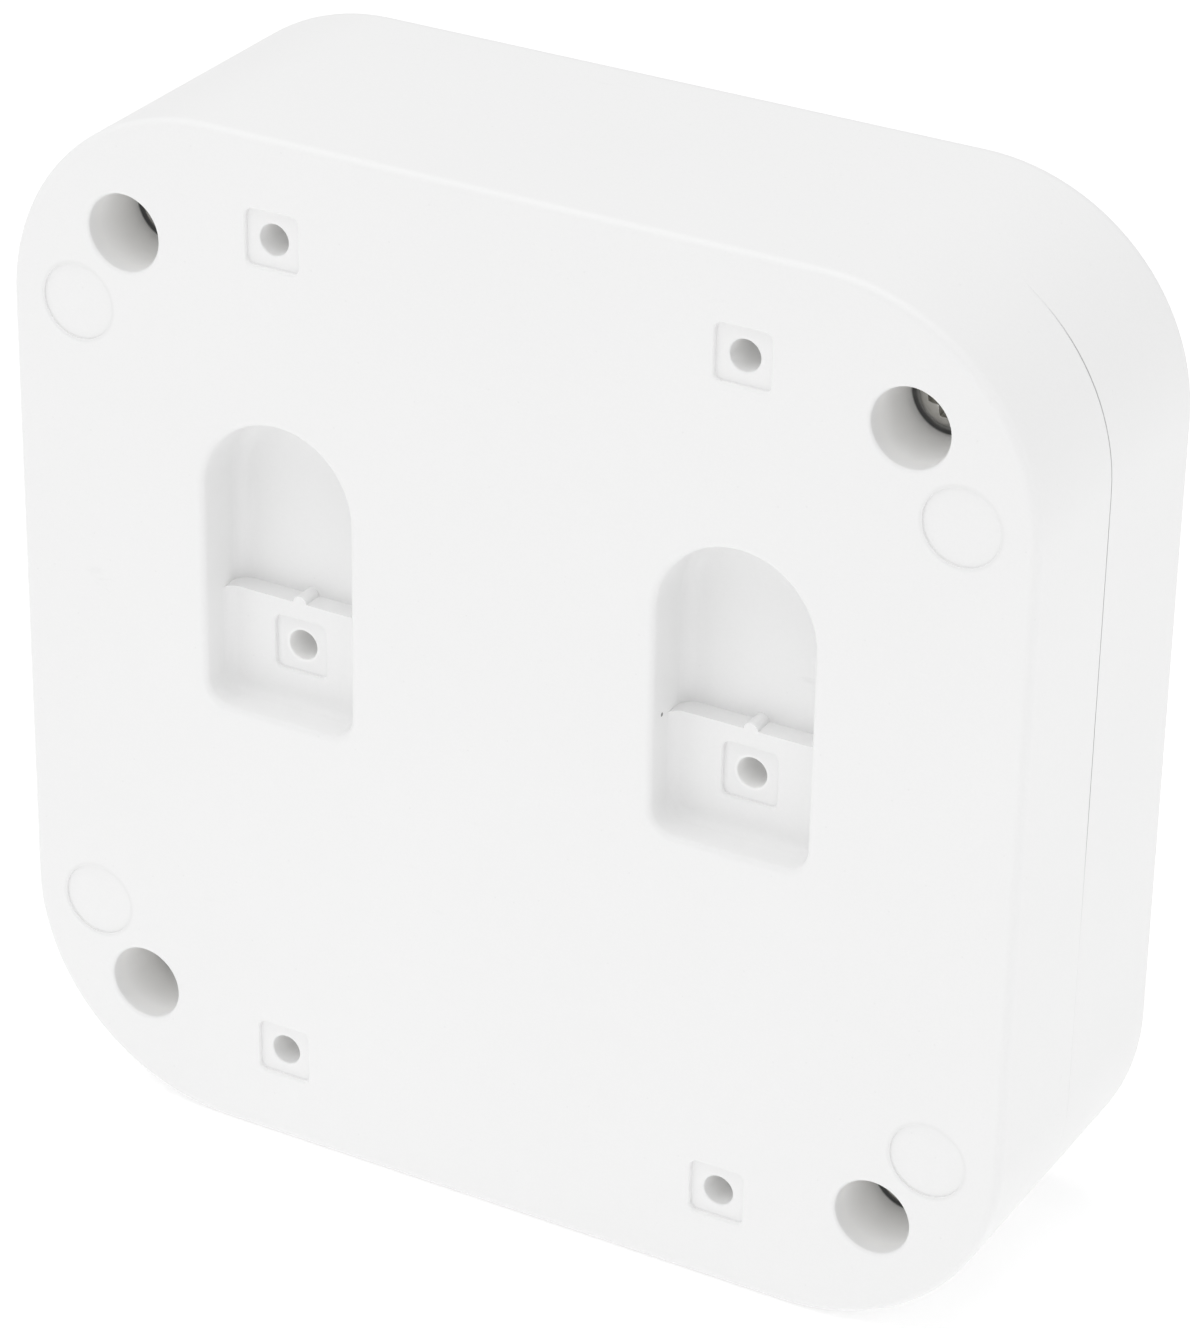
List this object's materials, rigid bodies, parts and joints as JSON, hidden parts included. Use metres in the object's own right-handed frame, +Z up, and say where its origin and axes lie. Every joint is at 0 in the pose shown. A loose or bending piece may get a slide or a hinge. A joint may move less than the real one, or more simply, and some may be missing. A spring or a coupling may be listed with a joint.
{
  "type": "wireless access point",
  "caption": "Square white access point with rounded corners, two hanging pockets and screw wells in its flat back, lower-edge jacks, and electronics and antennas inside.",
  "frame": {"origin": "centre of the flat back, on the mounting plane", "axes": "+Z up as it stands and hangs, ports down; +X right as seen from behind; the back (mounting face) looks along -Y and the front along +Y"},
  "size_m": [0.132, 0.042, 0.132],
  "materials": {
    "white_plastic": "satin white ABS with a fine spark-eroded grain",
    "screw_steel": "nickel-plated steel",
    "board_green": "green solder mask over glass-fibre laminate",
    "sink_aluminium": "bare extruded aluminium",
    "thermal_rubber": "soft grey-blue thermal pad",
    "chip_epoxy": "black moulding compound",
    "crystal_can": "nickel silver lid",
    "chip_ceramic": "tan ceramic with tinned ends",
    "tinned_steel": "tin-plated steel sheet",
    "black_plastic": "black moulded nylon",
    "gold_plate": "gold-plated phosphor bronze",
    "lamp_lens": "milky lens of a light-emitting diode",
    "nickel_plate": "nickel-plated brass",
    "ferrite": "sintered ferrite",
    "copper_winding": "enamelled copper under yellow tape",
    "capacitor_sleeve": "aluminium can in a dark sleeve",
    "switch_ivory": "ivory acetal",
    "clear_guide": "clear polycarbonate, frosted end",
    "antenna_laminate": "thin laminate with printed copper",
    "foam_tape": "white double-sided foam tape",
    "lead_jacket": "dark grey fluoropolymer jacket"
  },
  "bodies": {
    "case": {"rear_housing": "white_plastic", "front_cover": "white_plastic", "case_screws": "screw_steel", "main_board": "board_green", "board_screws": "screw_steel", "heat_sink": "sink_aluminium", "heat_sink_screws": "screw_steel", "thermal_pad": "thermal_rubber", "system_chip": "chip_epoxy", "memory_chips": "chip_epoxy", "flash_chip": "chip_epoxy", "clock_crystals": "crystal_can", "chip_parts": "chip_ceramic", "radio_chips": "chip_epoxy", "shield_fence_left": "tinned_steel", "shield_fence_right": "tinned_steel", "shield_lid_left": "tinned_steel", "shield_lid_right": "tinned_steel", "lan_jack_shell": "tinned_steel", "lan_jack_insert": "black_plastic", "lan_jack_contacts": "gold_plate", "lan_jack_lamps": "lamp_lens", "lan_transformer": "chip_epoxy", "power_jack": "black_plastic", "power_jack_pin": "nickel_plate", "power_jack_spring": "nickel_plate", "poe_transformer_core": "ferrite", "poe_transformer_winding": "copper_winding", "power_inductors": "ferrite", "bulk_capacitors": "capacitor_sleeve", "reset_switch": "black_plastic", "reset_switch_bracket": "tinned_steel", "reset_dome": "gold_plate", "status_lamp": "lamp_lens", "light_pipe": "clear_guide", "antenna_top": "antenna_laminate", "antenna_left": "antenna_laminate", "antenna_right": "antenna_laminate", "antenna_bottom": "antenna_laminate", "antenna_tapes": "foam_tape", "antenna_lead_top": "lead_jacket", "antenna_lead_left": "lead_jacket", "antenna_lead_right": "lead_jacket", "antenna_lead_bottom": "lead_jacket", "coax_plugs": "gold_plate", "coax_sockets": "gold_plate"},
    "reset_button": {"reset_button": "switch_ivory"}
  },
  "joints": [
    {"name": "reset_press", "type": "slide", "parent": "case", "child": "reset_button", "axis": [0, 0, 1], "range_m": [0, 0.0003], "stiffness_N_per_m": 300, "springref_m": -0.0005}
  ]
}
